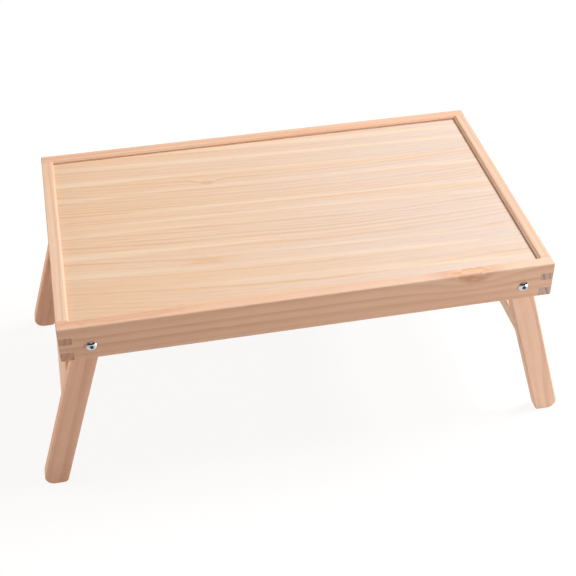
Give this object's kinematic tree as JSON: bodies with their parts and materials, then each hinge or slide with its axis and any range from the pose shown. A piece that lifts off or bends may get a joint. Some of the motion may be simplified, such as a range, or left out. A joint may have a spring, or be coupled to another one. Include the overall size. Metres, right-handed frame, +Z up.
{
  "type": "bed tray table",
  "caption": "Folding bed tray table: shallow rimmed wooden tray with finger-jointed corners, on splayed leg frames with crossbars that turn on bolts and fold flat underneath.",
  "frame": {"origin": "on the floor, under the middle of the tray, with the legs open", "axes": "+Z up; +X to the right along the tray's length; +Y away from the user, so the front rail is at -Y"},
  "size_m": [0.5744, 0.3138, 0.225],
  "materials": {
    "pine_frame": "sanded, clear satin lacquer",
    "pine_panel": "sanded, clear satin lacquer",
    "pine_legs": "sanded, clear satin lacquer",
    "beech_dowels": "raw, glued",
    "chrome_bolts": "bright plated",
    "zinc_steel": "zinc plated",
    "nylon_spacers": "moulded"
  },
  "bodies": {
    "tray": {"front_rail": "pine_frame", "back_rail": "pine_frame", "left_end_rail": "pine_frame", "right_end_rail": "pine_frame", "top_panel": "pine_panel", "left_pivot_bolts": "chrome_bolts", "left_pivot_spacers": "nylon_spacers", "left_pivot_washers": "zinc_steel", "left_pivot_lock_nuts": "zinc_steel", "right_pivot_bolts": "chrome_bolts", "right_pivot_spacers": "nylon_spacers", "right_pivot_washers": "zinc_steel", "right_pivot_lock_nuts": "zinc_steel"},
    "left_legs": {"left_crossbar": "pine_legs", "left_crossbar_dowels": "beech_dowels", "left_front_leg": "pine_legs", "left_back_leg": "pine_legs"},
    "right_legs": {"right_crossbar": "pine_legs", "right_crossbar_dowels": "beech_dowels", "right_front_leg": "pine_legs", "right_back_leg": "pine_legs"}
  },
  "joints": [
    {"name": "left_legs_fold", "type": "hinge", "parent": "tray", "child": "left_legs", "pos_m": [-0.21885, 0, 0.20025], "axis": [0, -1, 0], "range_deg": [0, 106.2]},
    {"name": "right_legs_fold", "type": "hinge", "parent": "tray", "child": "right_legs", "pos_m": [0.21885, 0, 0.20025], "axis": [0, 1, 0], "range_deg": [0, 106.2]}
  ]
}
